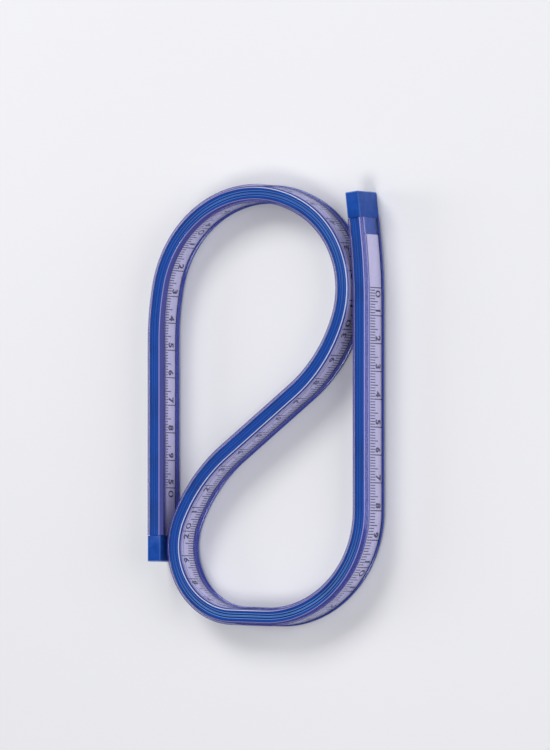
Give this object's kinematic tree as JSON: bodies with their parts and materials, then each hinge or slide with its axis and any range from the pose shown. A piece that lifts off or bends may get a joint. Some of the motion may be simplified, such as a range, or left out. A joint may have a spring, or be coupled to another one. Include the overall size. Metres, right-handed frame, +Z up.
{
  "type": "flexible curve ruler",
  "caption": "Bendable drawing curve posed in an S: ribbed blue core in a clear sleeve with a centimetre scale along each side and a cap on each end.",
  "frame": {"origin": "middle of the outline of the S, on the plane the lower lips stand on", "axes": "+Y along the two straight runs, from the loop towards the crown; +X towards the run where the scale starts; +Z up from the plane it stands on"},
  "size_m": [0.0926, 0.1596, 0.0135],
  "materials": {
    "clear_vinyl": "clear, glossy",
    "blue_vinyl": "satin, ribbed lengthwise",
    "scale_tape": "satin white with dark slate marks",
    "lead": "dull grey",
    "spring_steel": "bright rolled strip",
    "cap_plastic": "smooth, slightly glossy"
  },
  "bodies": {
    "right_run": {"right_run_clear_sleeve": "clear_vinyl", "right_run_blue_core": "blue_vinyl", "right_run_lead_rod": "lead", "right_run_left_spring_strip": "spring_steel", "right_run_right_spring_strip": "spring_steel", "right_run_left_scale_tape": "scale_tape", "right_run_right_scale_tape": "scale_tape", "right_end_cap": "cap_plastic"},
    "lower_right_bend": {"lower_right_bend_clear_sleeve": "clear_vinyl", "lower_right_bend_blue_core": "blue_vinyl", "lower_right_bend_lead_rod": "lead", "lower_right_bend_left_spring_strip": "spring_steel", "lower_right_bend_right_spring_strip": "spring_steel", "lower_right_bend_left_scale_tape": "scale_tape", "lower_right_bend_right_scale_tape": "scale_tape"},
    "lower_left_bend": {"lower_left_bend_clear_sleeve": "clear_vinyl", "lower_left_bend_blue_core": "blue_vinyl", "lower_left_bend_lead_rod": "lead", "lower_left_bend_left_spring_strip": "spring_steel", "lower_left_bend_right_spring_strip": "spring_steel", "lower_left_bend_left_scale_tape": "scale_tape", "lower_left_bend_right_scale_tape": "scale_tape"},
    "diagonal": {"diagonal_clear_sleeve": "clear_vinyl", "diagonal_blue_core": "blue_vinyl", "diagonal_lead_rod": "lead", "diagonal_left_spring_strip": "spring_steel", "diagonal_right_spring_strip": "spring_steel", "diagonal_left_scale_tape": "scale_tape", "diagonal_right_scale_tape": "scale_tape"},
    "upper_right_bend": {"upper_right_bend_clear_sleeve": "clear_vinyl", "upper_right_bend_blue_core": "blue_vinyl", "upper_right_bend_lead_rod": "lead", "upper_right_bend_left_spring_strip": "spring_steel", "upper_right_bend_right_spring_strip": "spring_steel", "upper_right_bend_left_scale_tape": "scale_tape", "upper_right_bend_right_scale_tape": "scale_tape"},
    "upper_left_bend": {"upper_left_bend_clear_sleeve": "clear_vinyl", "upper_left_bend_blue_core": "blue_vinyl", "upper_left_bend_lead_rod": "lead", "upper_left_bend_left_spring_strip": "spring_steel", "upper_left_bend_right_spring_strip": "spring_steel", "upper_left_bend_left_scale_tape": "scale_tape", "upper_left_bend_right_scale_tape": "scale_tape"},
    "left_run": {"left_run_clear_sleeve": "clear_vinyl", "left_run_blue_core": "blue_vinyl", "left_run_lead_rod": "lead", "left_run_left_spring_strip": "spring_steel", "left_run_right_spring_strip": "spring_steel", "left_run_left_scale_tape": "scale_tape", "left_run_right_scale_tape": "scale_tape", "left_end_cap": "cap_plastic"}
  },
  "joints": [
    {"name": "lower_left_flex", "type": "hinge", "parent": "diagonal", "child": "lower_left_bend", "pos_m": [-0.02299, -0.07208, 0.00675], "axis": [0, 0, -1], "range_deg": [0, 25]},
    {"name": "bottom_flex", "type": "hinge", "parent": "lower_left_bend", "child": "lower_right_bend", "pos_m": [0.01882, -0.0738, 0.00675], "axis": [0, 0, -1], "range_deg": [0, 25]},
    {"name": "lower_right_flex", "type": "hinge", "parent": "lower_right_bend", "child": "right_run", "pos_m": [0.04287, -0.04083, 0.00675], "axis": [0, 0, -1], "range_deg": [0, 25]},
    {"name": "upper_right_flex", "type": "hinge", "parent": "diagonal", "child": "upper_right_bend", "pos_m": [0.01672, 0.07208, 0.00675], "axis": [0, 0, -1], "range_deg": [0, 25]},
    {"name": "crown_flex", "type": "hinge", "parent": "upper_right_bend", "child": "upper_left_bend", "pos_m": [-0.02438, 0.06935, 0.00675], "axis": [0, 0, -1], "range_deg": [0, 25]},
    {"name": "upper_left_flex", "type": "hinge", "parent": "upper_left_bend", "child": "left_run", "pos_m": [-0.04241, 0.03455, 0.00675], "axis": [0, 0, -1], "range_deg": [0, 25]}
  ]
}
